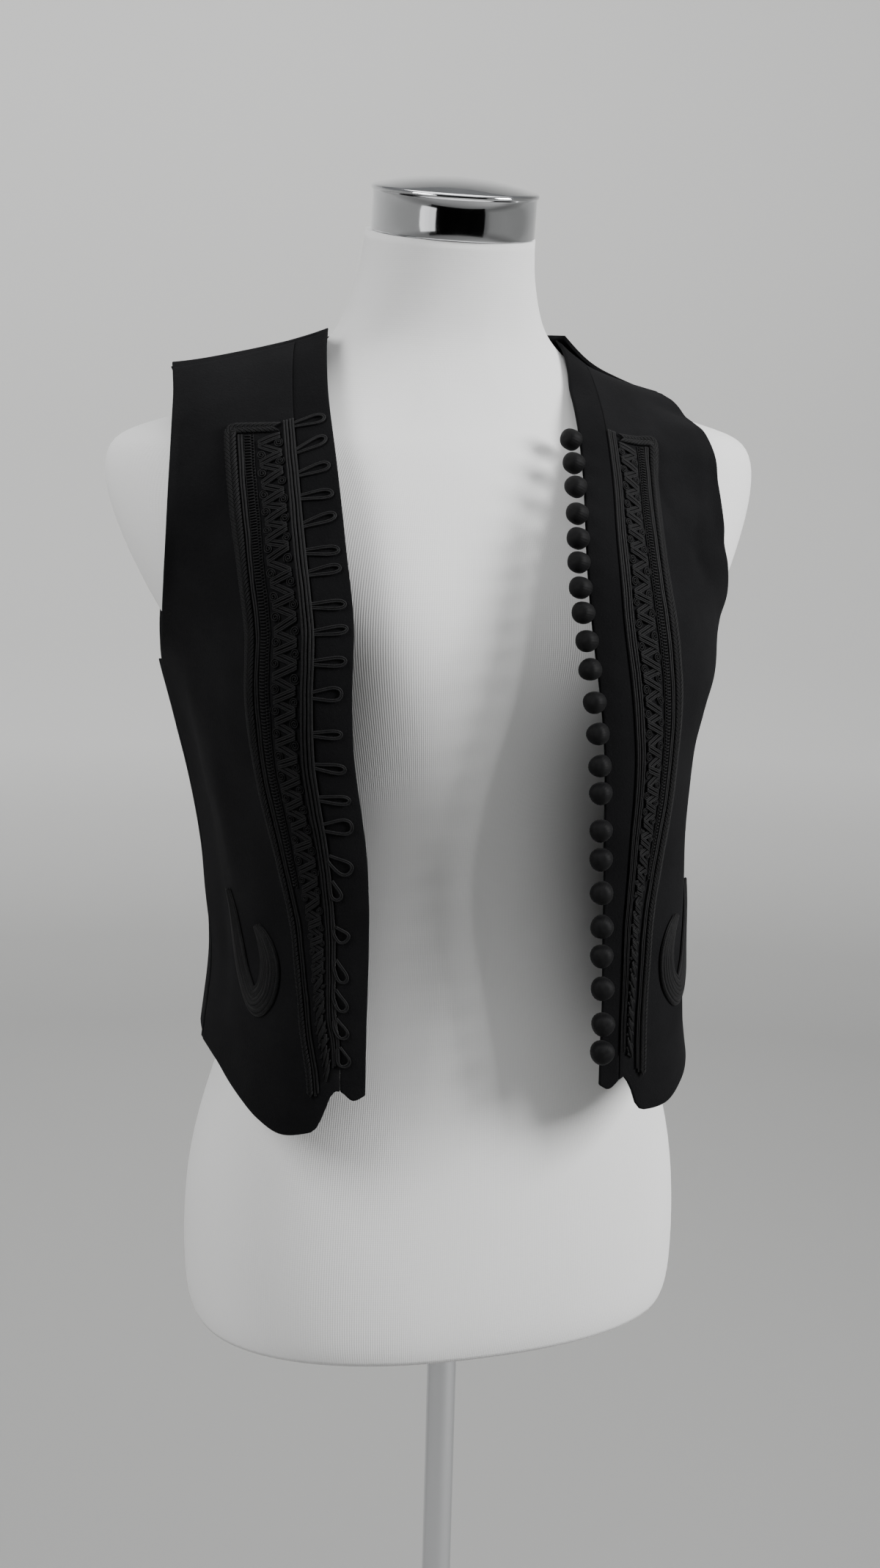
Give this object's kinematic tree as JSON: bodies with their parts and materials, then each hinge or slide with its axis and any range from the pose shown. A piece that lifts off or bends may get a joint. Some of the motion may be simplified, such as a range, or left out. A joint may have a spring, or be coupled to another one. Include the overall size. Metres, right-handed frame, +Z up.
{
  "type": "wool vest on a dress form",
  "caption": "Black fulled-wool folk vest, worn open, with braided trims, cord loops and thread-covered buttons, on a limbless white dress form with a chrome neck cap and pole stand.",
  "frame": {"origin": "middle of the underside of the stand's round base, on the pole's axis", "axes": "+Z up, -Y to the vest's front, +X to the wearer's left"},
  "size_m": [0.428, 0.38, 1.4505],
  "materials": {
    "wool": "matte",
    "band_wool": "matte",
    "braid": "silky",
    "thread": "silky",
    "jersey": "matte",
    "chrome": "polished",
    "steel": "satin"
  },
  "bodies": {
    "root": {"back": "wool", "button_01": "thread", "button_02": "thread", "button_03": "thread", "button_04": "thread", "button_05": "thread", "button_06": "thread", "button_07": "thread", "button_08": "thread", "button_09": "thread", "button_10": "thread", "button_11": "thread", "button_12": "thread", "button_13": "thread", "button_14": "thread", "button_15": "thread", "button_16": "thread", "button_17": "thread", "button_18": "thread", "button_19": "thread", "button_20": "thread", "button_21": "thread", "button_22": "thread", "dress_form": "jersey", "front_band_left": "band_wool", "front_band_right": "band_wool", "front_left": "wool", "front_right": "wool", "groove_soutache_left": "braid", "groove_soutache_right": "braid", "horn_motif_left": "braid", "horn_motif_right": "braid", "ladder_lace_left": "braid", "ladder_lace_right": "braid", "loop_cord": "braid", "neck_cap": "chrome", "plait_left": "braid", "plait_right": "braid", "stand_base": "steel", "stand_pole": "chrome", "twin_soutache_left": "braid", "twin_soutache_right": "braid", "zigzag_braid_left": "braid", "zigzag_braid_right": "braid"}
  },
  "joints": []
}
